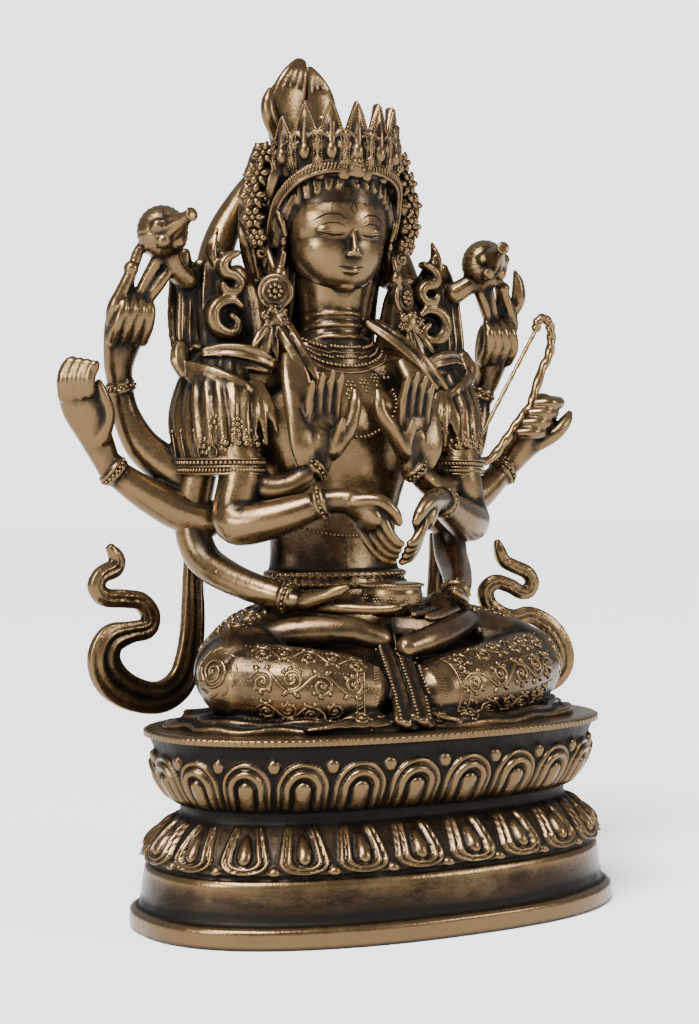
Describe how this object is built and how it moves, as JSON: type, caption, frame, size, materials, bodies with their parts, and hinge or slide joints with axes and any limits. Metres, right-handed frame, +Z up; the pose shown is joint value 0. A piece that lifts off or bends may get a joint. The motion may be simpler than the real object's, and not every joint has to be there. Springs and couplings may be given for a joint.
{
  "type": "bronze buddha statue",
  "caption": "Seated many-armed bronze bodhisattva with crown, lotuses, bow and curling scarf ends on an oval double-lotus pedestal.",
  "frame": {"origin": "centre of the pedestal's underside", "axes": "+Z up, the figure faces -Y, +X is the figure's left"},
  "size_m": [0.2276, 0.1236, 0.3306],
  "materials": {
    "pedestal_bronze": "dark brown aged cast bronze, rubbed brassy on the petals and rim",
    "figure_bronze": "dark brown aged cast bronze with a worn gloss, near black in the recesses",
    "bow_bronze": "dark brown bronze rod and wire"
  },
  "bodies": {
    "root": {"lotus_pedestal": "pedestal_bronze", "figure": "figure_bronze", "bow": "bow_bronze", "bowstring": "bow_bronze"}
  },
  "joints": []
}
